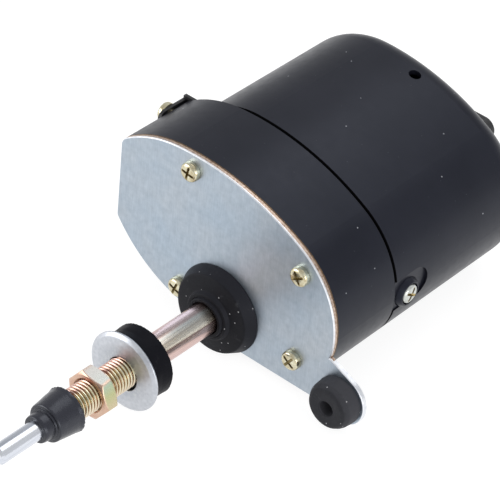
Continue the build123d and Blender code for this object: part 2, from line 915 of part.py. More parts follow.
def brush_plate():
    rear = yoke_rear_y + brush_plate_thickness
    body = tube(motor_place, yoke_outer_r, brush_plate_hole_r, yoke_rear_y, rear)
    width = brush_width + 2 * (brush_box_wall + brush_gap)
    height = brush_height + brush_box_wall + brush_gap
    for side in (1, -1):
        start = motor_place[0] + side * (commutator_r + brush_box_gap + brush_box_length / 2)
        place = Pos(start, rear, motor_place[1])
        align = (Align.CENTER, Align.MIN, Align.CENTER)
        body += place * Box(brush_box_length, height, width, align=align)
        clear_width = brush_width + 2 * brush_gap
        channel = Box(2 * brush_box_length, brush_height + brush_gap, clear_width, align=align)
        body -= place * channel
    return body


def brush_place(side, inset):
    rear = yoke_rear_y + brush_plate_thickness
    return Pos(motor_place[0] + side * (commutator_r + brush_gap + inset), rear, motor_place[1])


def brushes():
    align = (Align.CENTER, Align.MIN, Align.CENTER)
    block = Box(brush_length, brush_height, brush_width, align=align)
    return Compound([brush_place(side, brush_length / 2) * block for side in (1, -1)])


def brush_springs():
    """A bent strip behind each brush, standing on the brush plate."""
    solids = []
    align = (Align.CENTER, Align.MIN, Align.CENTER)
    back = brush_length + spring_strip / 2
    for side in (1, -1):
        strip = Box(spring_strip, brush_height, brush_width - 2 * spring_strip, align=align)
        solids.append(brush_place(side, back) * strip)
    return Compound(solids)


def idler_spindle():
    return round_bar(idler_place, idler_spindle_r, spindle_front_y, seam_y)


def crank_spindle():
    shoulder = crank_rear_y + end_float
    body = round_bar(crank_place, crank_spindle_r, spindle_front_y, shoulder)
    return body + round_bar(crank_place, crank_shoulder_r, shoulder, seam_y)


def spindle_clips():
    rear = crank_front_y - end_float
    clips = []
    for place, bore in ((idler_place, idler_spindle_r), (crank_place, crank_spindle_r)):
        clips.append(tube(place, clip_r, bore, rear - clip_thickness, rear))
    return Compound(clips)


def sector_stud():
    return round_bar(sector_place, stud_r, plate_thickness, sector_rear_y + end_float)


def link_pin():
    return round_bar(link_place, link_pin_r, sector_front_y, rod_rear_y)


def thrust_washer():
    return tube(output_place, washer_r, shaft_r, sector_rear_y, sector_rear_y + washer_thickness)


def switch_body():
    return round_bar(motor_place, switch_r, can_rear_y, can_rear_y + switch_thickness)


def lever_stations():
    front = can_rear_y + switch_thickness + lever_gap
    return front, front + lever_thickness


def switch_lever():
    front, rear = lever_stations()
    elbow = (motor_x + lever_elbow_reach, motor_z + lever_rise)
    tip = (motor_x + lever_tip_reach, motor_z + lever_rise)
    face = bar_between(motor_place, elbow, 2 * lever_tip_r)
    face += bar_between(elbow, tip, 2 * lever_tip_r)
    face += disc(elbow, lever_tip_r)
    face += disc(tip, lever_tip_r)
    face += disc(motor_place, lever_hub_r)
    face -= disc(motor_place, lever_pin_r + running_gap)
    return slab(face, front, rear)


def lever_pin():
    front, rear = lever_stations()
    head = rear + lever_gap
    pin = round_bar(motor_place, lever_pin_r, can_rear_y + switch_thickness, head)
    return pin + round_bar(motor_place, lever_pin_head_r, head, head + lever_pin_head)


nodes = {
    "cover_plate": cover_plate,
    "gasket": gasket,
    "cover_screws": cover_screws,
    "gear_housing": gear_housing,
    "motor_can": motor_can,
    "can_screws": can_screws,
    "threaded_bushing": threaded_bushing,
    "front_shaft_bush": lambda: shaft_bush(-bushing_length),
    "rear_shaft_bush": lambda: shaft_bush(rear_post_y),
    "base_grommet": base_grommet,
    "panel_washer": panel_washer,
    "dished_washer": dished_washer,
    "hex_nut": hex_nut,
    "rubber_cap": rubber_cap,
    "lug_grommet": lug_grommet,
    "side_bracket": side_bracket,
    "bracket_screw": bracket_screw,
    "output_shaft": output_shaft,
    "output_pinion": output_pinion,
    "thrust_washer": thrust_washer,
    "sector_stud": sector_stud,
    "sector_gear": sector_gear,
    "link_pin": link_pin,
    "connecting_rod": connecting_rod,
    "crank_gear": crank_gear,
    "crank_pin": crank_pin,
    "crank_spindle": crank_spindle,
    "idler_wheel": idler_wheel,
    "idler_pinion": idler_pinion,
    "idler_spindle": idler_spindle,
    "spindle_clips": spindle_clips,
    "armature_shaft": armature_shaft,
    "armature_pinion": armature_pinion,
    "armature_core": armature_core,
    "windings": windings,
    "commutator": commutator,
    "front_bearing": front_bearing,
    "rear_bearing": rear_bearing,
    "yoke_ring": yoke_ring,
    "magnets": magnets,
    "brush_plate": brush_plate,
    "brushes": brushes,
    "brush_springs": brush_springs,
    "switch_body": switch_body,
    "switch_lever": switch_lever,
    "lever_pin": lever_pin,
}

os.makedirs("parts", exist_ok=True)
for name, make in nodes.items():
    export_step(make(), f"parts/{name}.step")
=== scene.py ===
import json
import math

import bmesh
import bpy
from mathutils import Matrix, Vector, noise

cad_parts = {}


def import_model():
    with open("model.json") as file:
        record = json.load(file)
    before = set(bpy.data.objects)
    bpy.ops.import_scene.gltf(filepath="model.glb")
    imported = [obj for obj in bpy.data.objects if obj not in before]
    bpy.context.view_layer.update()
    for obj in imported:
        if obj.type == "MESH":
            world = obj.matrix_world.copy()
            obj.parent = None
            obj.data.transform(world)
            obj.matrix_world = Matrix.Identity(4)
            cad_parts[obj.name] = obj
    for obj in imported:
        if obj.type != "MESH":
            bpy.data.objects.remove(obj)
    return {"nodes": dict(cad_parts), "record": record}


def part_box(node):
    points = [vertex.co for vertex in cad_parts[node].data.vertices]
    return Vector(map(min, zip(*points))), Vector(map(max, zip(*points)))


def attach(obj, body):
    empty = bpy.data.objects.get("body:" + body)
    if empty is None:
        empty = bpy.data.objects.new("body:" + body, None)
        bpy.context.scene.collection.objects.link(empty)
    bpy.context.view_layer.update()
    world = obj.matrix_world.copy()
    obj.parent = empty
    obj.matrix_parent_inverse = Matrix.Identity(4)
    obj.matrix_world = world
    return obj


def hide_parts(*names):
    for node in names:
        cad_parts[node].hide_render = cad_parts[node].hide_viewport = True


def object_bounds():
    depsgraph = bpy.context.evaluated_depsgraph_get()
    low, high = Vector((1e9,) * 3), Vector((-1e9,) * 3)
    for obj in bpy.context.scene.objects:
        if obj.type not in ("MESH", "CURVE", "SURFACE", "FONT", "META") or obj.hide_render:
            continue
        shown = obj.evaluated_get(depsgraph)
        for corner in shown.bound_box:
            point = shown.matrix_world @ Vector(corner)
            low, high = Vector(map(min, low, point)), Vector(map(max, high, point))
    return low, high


# Wiper motor: materials, detailed pieces, stage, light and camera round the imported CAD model

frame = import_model()
cad_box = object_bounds()

MM = 0.001
WELD = 1e-4 * MM
SMOOTH_ANGLE = math.radians(32)

# Camera, from the outlines in the photograph
CAMERA_PLACE = (0.3977, -0.5114, 0.5230)
CAMERA_RIGHT = (0.7551, 0.6508, 0.0794)
CAMERA_UP = (-0.4477, 0.4235, 0.7875)
CAMERA_BACK = (0.4789, -0.6302, 0.6111)
FOCAL_PIXELS = 2800
IMAGE_PIXELS = 500
SENSOR = 36.0


def corners_mm(node):
    """Lowest and highest corner of a node in millimetres."""
    low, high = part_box(node)
    return low / MM, high / MM


# Places read from the frame, in millimetres
BUSHING_FRONT = corners_mm("threaded_bushing")[0].y
BUSHING_REAR = corners_mm("threaded_bushing")[1].y
PLATE_BACK = corners_mm("cover_plate")[1].y
CAP_FRONT = corners_mm("rubber_cap")[0].y
CAP_REAR = corners_mm("rubber_cap")[1].y
WASHER_REAR = corners_mm("panel_washer")[1].y
DISH_FRONT = corners_mm("dished_washer")[0].y
NUT_FRONT = corners_mm("hex_nut")[0].y
NUT_REAR = corners_mm("hex_nut")[1].y
SEAM_Y = corners_mm("motor_can")[0].y
LUG_LOW, LUG_HIGH = corners_mm("lug_grommet")

# Bushing and thread, in millimetres
BUSHING_R = 5.0
BORE_R = 3.6
SEAT_R = 4.0
SEAT_DEPTH = 9.0
FLANGE_R = 8.5
FLANGE_THICKNESS = 1.6
NECK_R = 5.5
COLLAR_R = 6.2
END_CHAMFER = 0.8
FIT = 0.02
THREAD_REAR = -36.0
THREAD_PITCH = 1.25
THREAD_DEPTH = 0.66
THREAD_SHAPE = (1.0, 0.92, 0.62, 0.24, 0.03, 0.0, 0.03, 0.24, 0.62, 0.92)
SHAFT_BORE_R = 3.06

# Nut and screws, in millimetres and degrees
NUT_FLATS = 14.0
NUT_CORNER_ANGLE = 52.0
NUT_FACE_SHARE = 0.965
NUT_SINK = 0.6
HEAD_R = 3.2
HEAD_HEIGHT = 2.3
HEAD_CLEARANCE = 0.2
SHANK_R = 1.9
SHANK_LENGTH = 3.8
SHANK_CHAMFER = 0.4
RECESS_SPAN = 2.45
RECESS_WIDTH = 0.42
RECESS_DEPTH = 1.0
CONE_HEIGHT = 1.65

# Black line of the seam, in millimetres, on faces whose direction has this share along Y
JOINT_REACH = 0.6
JOINT_LIFT = 0.02
JOINT_WIDTH = 0.35
JOINT_SLOPE = (0.3, 0.95)

# Levels of the light and the floor
WORLD_LEVEL = 0.68
STRIP_LEVEL = 0.36
FLOOR_GREY = 0.82
FLOOR_SHADOW = 0.26
FLOOR_GLOW = 0.88

# Places of the lamps and the floor, in metres
LAMP_TARGET = (0.0, 0.03, 0.01)
FLOOR_REACH = 2.0
FLOOR_GAP = 0.0004


# Node helpers

def grey(value):
    """A colour with three equal parts."""
    return (value, value, value)


def rgba(colour):
    """A colour with its alpha."""
    return (*colour, 1.0)


def feed(tree, value, socket):
    """Links a node's output to a socket, or sets the socket to a plain value."""
    if hasattr(value, "is_linked"):
        tree.links.new(value, socket)
    else:
        socket.default_value = value


class Paint:
    """A material with a Principled shader and short calls for the nodes that feed it."""

    def __init__(self, name, **values):
        self.material = bpy.data.materials.new(name)
        self.material.use_nodes = True
        self.tree = self.material.node_tree
        self.shader = self.tree.nodes["Principled BSDF"]
        for socket, value in values.items():
            self.shader.inputs[socket.replace("_", " ")].default_value = value

    def node(self, kind, **settings):
        made = self.tree.nodes.new(kind)
        for key, value in settings.items():
            setattr(made, key, value)
        return made

    def link(self, source, target):
        self.tree.links.new(source, target)

    def place(self, scale=(1, 1, 1), move=(0, 0, 0)):
        """Object coordinates in millimetres, stretched as asked."""
        coords = self.node("ShaderNodeTexCoord")
        mapping = self.node("ShaderNodeMapping")
        mapping.inputs["Scale"].default_value = [1000 * s for s in scale]
        mapping.inputs["Location"].default_value = move
        self.link(coords.outputs["Object"], mapping.inputs["Vector"])
        return mapping.outputs["Vector"]

    def part(self, vector, axis):
        """One component of a vector."""
        split = self.node("ShaderNodeSeparateXYZ")
        self.link(vector, split.inputs[0])
        return split.outputs[axis]

    def noise(self, vector, scale, detail=3.0, roughness=0.55):
        made = self.node("ShaderNodeTexNoise")
        made.inputs["Scale"].default_value = scale
        made.inputs["Detail"].default_value = detail
        made.inputs["Roughness"].default_value = roughness
        self.link(vector, made.inputs["Vector"])
        return made.outputs["Fac"]

    def specks(self, vector, scale, size, share, channel):
        """A mask of round specks in a share of the cells, chosen by one part of a random colour."""
        cells = self.node("ShaderNodeTexVoronoi")
        cells.inputs["Scale"].default_value = scale
        self.link(vector, cells.inputs["Vector"])
        near = self.math("LESS_THAN", cells.outputs["Distance"], size)
        chosen = self.math("LESS_THAN", self.part(cells.outputs["Color"], channel), share)
        return self.math("MULTIPLY", near, chosen)

    def ramp(self, factor, stops):
        made = self.node("ShaderNodeValToRGB")
        elements = made.color_ramp.elements
        while len(elements) < len(stops):
            elements.new(0.5)
        for element, (place, colour) in zip(elements, stops):
            element.position = place
            element.color = rgba(colour)
        self.link(factor, made.inputs["Fac"])
        return made.outputs["Color"]

    def blend(self, factor, first, second, mode="MIX"):
        made = self.node("ShaderNodeMix", data_type="RGBA", blend_type=mode)
        for key, value in (("Factor", factor), ("A", first), ("B", second)):
            sockets = [s for s in made.inputs if s.name == key and s.enabled]
            feed(self.tree, value, sockets[0])
        return [s for s in made.outputs if s.enabled][0]

    def math(self, operation, first, second=0.0, clamp=False):
        made = self.node("ShaderNodeMath", operation=operation, use_clamp=clamp)
        for socket, value in zip(made.inputs, (first, second)):
            feed(self.tree, value, socket)
        return made.outputs[0]

    def remap(self, source, low, high, to_low=0.0, to_high=1.0):
        made = self.node("ShaderNodeMapRange", clamp=True)
        limits = {"From Min": low, "From Max": high, "To Min": to_low, "To Max": to_high}
        for key, value in limits.items():
            made.inputs[key].default_value = value
        self.link(source, made.inputs["Value"])
        return made.outputs[0]

    def radius(self):
        """Distance in millimetres from the Y axis."""
        place = self.place()
        x = self.part(place, "X")
        z = self.part(place, "Z")
        square = self.math("ADD", self.math("MULTIPLY", x, x), self.math("MULTIPLY", z, z))
        return self.math("SQRT", square)

    def bearing(self):
        """Angle about the Y axis as 0 to 1, where 0.5 points along +X and 0.75 along +Z."""
        place = self.place()
        angle = self.math("ARCTAN2", self.part(place, "Z"), self.part(place, "X"))
        return self.remap(angle, -math.pi, math.pi)

    def normal_part(self, axis):
        """One component of the surface's own direction in the part's frame."""
        coords = self.node("ShaderNodeTexCoord")
        return self.part(coords.outputs["Normal"], axis)

    def colour(self, source):
        """Feeds the base colour."""
        self.link(source, self.shader.inputs["Base Color"])

    def rough(self, source, low, high):
        """Spreads a factor between two roughnesses."""
        self.link(self.remap(source, 0.0, 1.0, low, high), self.shader.inputs["Roughness"])

    def bump(self, height, strength, distance_mm):
        """Raises the surface by a height from 0 to 1."""
        made = self.node("ShaderNodeBump")
        made.inputs["Strength"].default_value = strength
        made.inputs["Distance"].default_value = distance_mm * MM
        self.link(height, made.inputs["Height"])
        self.link(made.outputs[0], self.shader.inputs["Normal"])


# Materials

def black_enamel(name, seed):
    """Semi-gloss black paint with soft clouds and dust specks."""
    paint = Paint(name, Specular_IOR_Level=0.27, Specular_Tint=rgba((0.74, 0.81, 1.0)))
    vector = paint.place(move=(seed, seed, 0))
    cloud = paint.noise(vector, 0.05, 3)
    base = paint.ramp(cloud, [(0.3, (0.0070, 0.0075, 0.0125)), (0.75, (0.0120, 0.0125, 0.0190))])
    dust = paint.specks(paint.place(move=(seed, 0, seed)), 0.22, 0.052, 0.20, "X")
    fine_dust = paint.specks(paint.place(move=(0, seed, seed)), 0.55, 0.075, 0.14, "Y")
    haze = paint.blend(fine_dust, base, rgba((0.05, 0.052, 0.06)))
    dust_and_side_light = paint.blend(dust, haze, rgba((0.34, 0.35, 0.38)))
    paint.colour(dust_and_side_light)
    paint.rough(paint.noise(vector, 0.35, 5, 0.6), 0.24, 0.44)
    paint.bump(paint.noise(vector, 1.3, 4), 0.06, 0.2)
    return paint.material


def plate_zinc():
    """Galvanised plate: a mottled face with faint grain, and a bright edge that is tan at the back."""
    paint = Paint("plate_zinc", Metallic=1.0)
    streaks = paint.noise(paint.place(scale=(2.4, 1, 0.16)), 1.0, 5, 0.62)
    cloud = paint.noise(paint.place(), 0.045, 3)
    mottle = paint.noise(paint.place(move=(4, 0, 9)), 0.42, 5, 0.62)
    streak_part = paint.math("MULTIPLY", streaks, 0.45)
    grain = paint.math("ADD", streak_part, paint.math("MULTIPLY", mottle, 0.55))
    base = paint.ramp(grain, [(0.34, (0.36, 0.41, 0.46)), (0.66, (0.49, 0.54, 0.59))])
    tint = paint.ramp(cloud, [(0.35, (0.90, 0.95, 1.0)), (0.7, (1.0, 0.985, 0.98))])
    face = paint.blend(1.0, base, tint, "MULTIPLY")
    speck = paint.specks(paint.place(), 0.075, 0.036, 0.35, "Z")
    face = paint.blend(speck, face, rgba((0.03, 0.03, 0.035)))
    middle = 0.55
    ear_start = 43.0
    place = paint.place()
    coarse = paint.noise(place, 0.8, 3)
    fine = paint.noise(place, 1.6, 4)
    bright = paint.ramp(coarse, [(0.3, (0.74, 0.76, 0.80)), (0.7, (0.90, 0.91, 0.94))])
    tan = paint.ramp(fine, [(0.35, (0.34, 0.24, 0.18)), (0.65, (0.66, 0.52, 0.43))])
    back_half = paint.math("GREATER_THAN", paint.part(place, "Y"), middle)
    on_body = paint.math("LESS_THAN", paint.part(place, "X"), ear_start)
    edge = paint.blend(paint.math("MULTIPLY", back_half, on_body), bright, tan)
    is_edge = paint.math("LESS_THAN", paint.math("ABSOLUTE", paint.normal_part("Y")), 0.93)
    paint.colour(paint.blend(is_edge, face, edge))
    paint.rough(grain, 0.33, 0.47)
    paint.bump(grain, 0.08, 0.1)
    return paint.material


def fibre():
    """Brown gasket board with pale fibres."""
    paint = Paint("fibre", Roughness=0.85)
    grain = paint.noise(paint.place(), 2.2, 5, 0.7)
    stops = [(0.35, (0.045, 0.025, 0.015)), (0.55, (0.17, 0.10, 0.05)), (0.72, (0.42, 0.30, 0.14))]
    paint.colour(paint.ramp(grain, stops))
    paint.bump(grain, 0.6, 0.3)
    return paint.material


def zinc(name, dark, light, rough, scale):
    """Passivated zinc: a metal whose tint wanders between two colours."""
    paint = Paint(name, Metallic=1.0)
    cloud = paint.noise(paint.place(), scale, 4, 0.6)
    paint.colour(paint.ramp(cloud, [(0.3, dark), (0.7, light)]))
    fine = paint.noise(paint.place(), 3.0, 4)
    paint.rough(fine, *rough)
    paint.bump(fine, 0.08, 0.1)
    return paint.material


def bushing_zinc():
    """Drawn and passivated steel with painted highlight and reflection bands along its axis, painted
    shade in the thread grooves and a painted highlight on the crests.
    """
    paint = Paint("bushing_zinc", Metallic=1.0)
    streaks = paint.noise(paint.place(scale=(2.2, 0.03, 2.2)), 1.0, 5, 0.6)
    bearing = paint.math("ADD", paint.bearing(), paint.remap(streaks, 0.0, 1.0, -0.02, 0.02))
    # Painted reflection and highlight: bands round the axis, brightest toward the light, with a dark
    # reflected line below that and darker tones on the upper side.
    reflection_bands = paint.ramp(bearing, [
        (0.00, (0.66, 0.58, 0.44)),
        (0.20, (0.78, 0.60, 0.54)),
        (0.40, (0.66, 0.46, 0.43)),
        (0.560, (0.74, 0.56, 0.51)),
        (0.576, (0.24, 0.13, 0.11)),
        (0.592, (0.94, 0.80, 0.62)),
        (0.650, (1.00, 0.87, 0.72)),
        (0.705, (1.00, 0.96, 0.86)),
        (0.730, (0.80, 0.60, 0.55)),
        (0.790, (0.78, 0.58, 0.55)),
        (0.880, (0.50, 0.34, 0.34)),
        (1.00, (0.66, 0.58, 0.44)),
    ])
    grain = paint.ramp(streaks, [(0.3, (0.80, 0.78, 0.76)), (0.55, (1.0, 1.0, 1.0))])
    plain = paint.blend(1.0, reflection_bands, grain, "MULTIPLY")
    y = paint.part(paint.place(), "Y")
    near_grommet = paint.remap(y, -11.5, -7.5)
    smudge = paint.math("MULTIPLY", near_grommet, paint.noise(paint.place(), 0.5, 4))
    smudge = paint.math("MULTIPLY", smudge, 1.3, clamp=True)
    plain = paint.blend(smudge, plain, rgba((0.08, 0.045, 0.03)))
    # Painted shade in the thread grooves: the deeper the surface lies, the more it takes the dark
    # groove colour.
    height = paint.remap(paint.radius(), BUSHING_R - THREAD_DEPTH, BUSHING_R - 0.03)
    wander = paint.noise(paint.place(), 0.25, 3)
    shaded_groove = paint.ramp(wander, [(0.35, (0.30, 0.15, 0.11)), (0.7, (0.40, 0.29, 0.14))])
    # Painted highlight on the crests: light on the side toward the light, darker pink on the upper
    # side.
    lit_crest = paint.ramp(bearing, [
        (0.00, (0.80, 0.74, 0.52)),
        (0.45, (0.80, 0.70, 0.55)),
        (0.60, (0.90, 0.87, 0.62)),
        (0.69, (0.92, 0.90, 0.66)),
        (0.74, (0.70, 0.46, 0.38)),
        (0.86, (0.56, 0.36, 0.32)),
        (1.00, (0.80, 0.74, 0.52)),
    ])
    thread = paint.blend(paint.remap(height, 0.25, 0.9), shaded_groove, lit_crest)
    threaded = paint.math("LESS_THAN", y, THREAD_REAR)
    paint.colour(paint.blend(threaded, plain, thread))
    paint.rough(streaks, 0.20, 0.34)
    return paint.material


def nut_zinc():
    """Iridescent passivate: each face of the nut takes its own tint, with a painted coppery highlight
    along its edges.
    """
    paint = Paint("nut_zinc", Metallic=1.0)
    cloud = paint.noise(paint.place(), 0.22, 3, 0.5)
    bearing = paint.math("ADD", paint.bearing(), paint.remap(cloud, 0.0, 1.0, -0.02, 0.02))
    faces = paint.ramp(bearing, [
        (0.00, (0.62, 0.48, 0.36)),
        (0.25, (0.60, 0.56, 0.36)),
        (0.48, (0.66, 0.55, 0.38)),
        (0.56, (0.54, 0.55, 0.30)),
        (0.63, (0.48, 0.58, 0.44)),
        # The narrow pale stop here is a painted highlight on the corner that faces the light.
        (0.648, (0.80, 0.58, 0.46)),
        (0.664, (0.58, 0.60, 0.56)),
        (0.79, (0.60, 0.58, 0.55)),
        (0.83, (0.62, 0.42, 0.33)),
        (1.00, (0.62, 0.48, 0.36)),
    ])
    front = paint.ramp(cloud, [(0.35, (0.50, 0.30, 0.21)), (0.65, (0.62, 0.45, 0.33))])
    is_front = paint.remap(paint.math("ABSOLUTE", paint.normal_part("Y")), 0.25, 0.6)
    tone = paint.blend(is_front, faces, front)
    y = paint.part(paint.place(), "Y")
    # Painted highlight: a coppery band along the front and rear edges of the nut.
    front_edge_highlight = paint.remap(y, NUT_FRONT + 0.9, NUT_FRONT + 0.3)
    rear_edge_highlight = paint.remap(y, NUT_REAR - 0.7, NUT_REAR - 0.2)
    rim = paint.math("MULTIPLY", paint.math("MAXIMUM", front_edge_highlight, rear_edge_highlight), 0.35)
    paint.colour(paint.blend(rim, tone, rgba((0.76, 0.52, 0.42))))
    fine = paint.noise(paint.place(), 3.0, 4)
    paint.rough(fine, 0.22, 0.34)
    paint.bump(fine, 0.06, 0.1)
    return paint.material


def dish_zinc():
    """Bright zinc on the dished washer, matt and stained round the hole."""
    paint = Paint("bright_steel", Metallic=1.0)
    mottle = paint.noise(paint.place(), 0.75, 5, 0.68)
    clean = paint.ramp(mottle, [(0.3, (0.46, 0.48, 0.52)), (0.7, (0.60, 0.62, 0.66))])
    blotch = paint.noise(paint.place(), 0.9, 5, 0.7)
    stain = paint.ramp(blotch, [(0.4, (0.30, 0.33, 0.38)), (0.65, (0.56, 0.58, 0.58))])
    inner = paint.remap(paint.radius(), 9.6, 6.6)
    face = paint.blend(paint.math("MULTIPLY", inner, mottle, clamp=True), clean, stain)
    speck = paint.specks(paint.place(), 0.5, 0.08, 0.12, "Y")
    paint.colour(paint.blend(speck, face, rgba((0.22, 0.22, 0.24))))
    paint.rough(mottle, 0.30, 0.46)
    paint.bump(mottle, 0.12, 0.15)
    return paint.material


def ground_steel():
    """Ground shaft: painted highlight and reflection bands along its axis, and fine rings round it."""
    paint = Paint("ground_steel", Metallic=1.0)
    streaks = paint.noise(paint.place(scale=(1.3, 0.05, 1.3)), 1.0, 4)
    # Painted highlight and reflection: a bright band toward the light and a dark reflected band beside
    # it.
    reflection_bands = paint.ramp(paint.bearing(), [
        (0.0, (0.66, 0.68, 0.73)),
        (0.52, (0.74, 0.77, 0.84)),
        (0.68, (0.86, 0.88, 0.92)),
        (0.74, (0.52, 0.55, 0.61)),
        (0.80, (0.62, 0.65, 0.71)),
        (1.0, (0.66, 0.68, 0.73)),
    ])
    grain = paint.ramp(streaks, [(0.3, grey(0.86)), (0.7, grey(1.0))])
    paint.colour(paint.blend(1.0, reflection_bands, grain, "MULTIPLY"))
    paint.rough(paint.noise(paint.place(scale=(1, 6, 1)), 2.0, 3), 0.16, 0.30)
    return paint.material


def rubber(name, tone, gloss, rough, dust):
    """Moulded rubber: charcoal, faintly mottled, with white dust specks, pale scuffs and painted light
    that makes the side walls paler.
    """
    paint = Paint(name, Specular_IOR_Level=gloss, Specular_Tint=rgba((0.86, 0.90, 1.0)))
    fine = paint.noise(paint.place(), 1.1, 5, 0.65)
    dark = tuple(0.55 * part for part in tone)
    base = paint.ramp(fine, [(0.3, dark), (0.8, tone)])
    scuff = paint.remap(paint.noise(paint.place(move=(7, 3, 1)), 0.35, 5, 0.7), 0.60, 0.80)
    base = paint.blend(paint.math("MULTIPLY", scuff, 0.45), base, rgba((0.085, 0.085, 0.09)))
    # Painted light: side walls, whose direction lies across Y, are made paler than the faces.
    side = paint.remap(paint.math("ABSOLUTE", paint.normal_part("Y")), 0.75, 0.35)
    dust_and_side_light = rgba(tuple(2.2 * part for part in tone))
    base = paint.blend(paint.math("MULTIPLY", side, 0.5), base, dust_and_side_light)
    speck = paint.specks(paint.place(), 0.42, 0.085, dust, "X")
    paint.colour(paint.blend(speck, base, rgba((0.40, 0.40, 0.41))))
    paint.rough(fine, rough - 0.1, rough + 0.12)
    paint.bump(fine, 0.25, 0.22)
    return paint.material


def simple(name, colour, roughness, metallic=0.0, scale=1.0, gloss=0.5):
    """A plain finish with a little mottling, for hidden and small pieces."""
    paint = Paint(name, Metallic=metallic, Specular_IOR_Level=gloss)
    fine = paint.noise(paint.place(), scale, 4)
    dark = tuple(0.8 * c for c in colour)
    paint.colour(paint.ramp(fine, [(0.3, dark), (0.7, colour)]))
    paint.rough(fine, roughness - 0.06, roughness + 0.08)
    paint.bump(fine, 0.1, 0.15)
    return paint.material


materials = {
    "plate_zinc": plate_zinc(),
    "fibre": fibre(),
    "yellow_zinc": zinc("yellow_zinc", (0.46, 0.38, 0.22), (0.80, 0.78, 0.60), (0.18, 0.32), 0.6),
    "black_housing": black_enamel("black_housing", 11),
    "black_can": black_enamel("black_can", 37),
    "bushing_zinc": bushing_zinc(),
    "bronze": simple("bronze", (0.66, 0.42, 0.20), 0.4, 1.0),
    "black_rubber": rubber("black_rubber", (0.0135, 0.0135, 0.0165), 0.12, 0.52, 0.42),
    "bright_steel": dish_zinc(),
    "nut_zinc": nut_zinc(),
    "black_steel": simple("black_steel", (0.018, 0.018, 0.02), 0.45),
    "ground_steel": ground_steel(),
    "gear_steel": simple("gear_steel", (0.55, 0.55, 0.57), 0.4, 1.0),
    "gear_fibre": simple("gear_fibre", (0.40, 0.27, 0.13), 0.6),
    "core_steel": simple("core_steel", (0.30, 0.30, 0.32), 0.5, 0.8),
    "copper": simple("copper", (0.62, 0.25, 0.10), 0.4, 0.9),
    "ferrite": simple("ferrite", (0.05, 0.05, 0.055), 0.7),
    "carbon": simple("carbon", (0.03, 0.03, 0.03), 0.8),
    "phenolic": simple("phenolic", (0.20, 0.10, 0.04), 0.55),
    "black_plastic": simple("black_plastic", (0.02, 0.02, 0.022), 0.5),
}
cap_rubber = rubber("cap_rubber", (0.0085, 0.0085, 0.0130), 0.62, 0.27, 0.08)
washer_rubber = rubber("washer_rubber", (0.0060, 0.0060, 0.0078), 0.05, 0.42, 0.06)
dusty_rubber = rubber("dusty_rubber", (0.030, 0.030, 0.034), 0.22, 0.62, 0.40)
pale_zinc = zinc("pale_zinc", (0.48, 0.50, 0.47), (0.72, 0.74, 0.70), (0.28, 0.40), 0.7)
joint_black = simple("joint_black", (0.0012, 0.0012, 0.0014), 0.9, gloss=0.02)
# Painted shade for the driver recesses of the screws: a darker brown metal.
recess_shade = simple("recess_shade", (0.34, 0.27, 0.13), 0.4, 0.9, 2.0)

slot_of = {part["node"]: part["material_slot"] for part in frame["record"]["subparts"]}
for node, piece in frame["nodes"].items():
    piece.data.materials.clear()
    piece.data.materials.append(materials[slot_of[node]])


# Mesh helpers

def close_up(shape, name):
    """Turns a bmesh into a mesh and frees it."""
    mesh = bpy.data.meshes.new(name)
    shape.to_mesh(mesh)
    shape.free()
    return mesh


def absorb(shape, mesh):
    """Adds a mesh to a bmesh and removes it."""
    shape.from_mesh(mesh)
    bpy.data.meshes.remove(mesh)


def mesh_of(build, name):
    """A mesh from a function that fills a bmesh."""
    shape = bmesh.new()
    build(shape)
    bmesh.ops.remove_doubles(shape, verts=shape.verts, dist=WELD)
    bmesh.ops.dissolve_degenerate(shape, edges=shape.edges, dist=WELD)
    bmesh.ops.recalc_face_normals(shape, faces=shape.faces)
    return close_up(shape, name)


def add_piece(name, mesh, slot, replaces=None, body="casing"):
    """Makes an object of a mesh, shades it and hands it to the frame."""
    mesh.shade_smooth()
    mesh.set_sharp_from_angle(angle=SMOOTH_ANGLE)
    mesh.materials.clear()
    mesh.materials.append(materials[slot])
    piece = bpy.data.objects.new(name, mesh)
    bpy.context.scene.collection.objects.link(piece)
    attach(piece, body)
    if replaces:
        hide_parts(replaces)
    return piece


def rounded(points, steps=5):
    """Profile points, each corner that has a third value rounded to that radius."""
    result = []
    count = len(points)
    for index, point in enumerate(points):
        place = Vector(point[:2])
        if len(point) < 3:
            result.append(place)
            continue
        before = (Vector(points[index - 1][:2]) - place).normalized()
        after = (Vector(points[(index + 1) % count][:2]) - place).normalized()
        half = before.angle(after) / 2
        centre = place + (before + after).normalized() * point[2] / math.sin(half)
        reach = point[2] / math.tan(half)
        first = place + before * reach - centre
        last = place + after * reach - centre
        start = math.atan2(first.y, first.x)
        turn = (math.atan2(last.y, last.x) - start + math.pi) % math.tau - math.pi
        for step in range(steps + 1):
            angle = start + turn * step / steps
            result.append(centre + point[2] * Vector((math.cos(angle), math.sin(angle))))
    return result


def cut_runs(profile, step):
    """A closed profile with its long runs cut into steps."""
    result = []
    for index, start in enumerate(profile):
        end = profile[(index + 1) % len(profile)]
        cuts = max(1, round((end - start).length / step))
        result += [start.lerp(end, cut / cuts) for cut in range(cuts)]
    return result


def bridge(shape, first, second):
    """Faces between two rings of the same length."""
    count = len(first)
    for index in range(count):
        after = (index + 1) % count
        shape.faces.new((first[index], first[after], second[after], second[index]))


def ring_vertex(shape, radius, y, angle, centre=(0.0, 0.0)):
    """A vertex at a radius, station and angle about a line along Y."""
    x = centre[0] + radius * math.cos(angle)
    z = centre[1] + radius * math.sin(angle)
    return shape.verts.new((x * MM, y * MM, z * MM))


def plain_ring(shape, segments, radius, y, start=0.0):
    """A whole ring of vertices."""
    return [ring_vertex(shape, radius, y, math.tau * i / segments + start) for i in range(segments)]


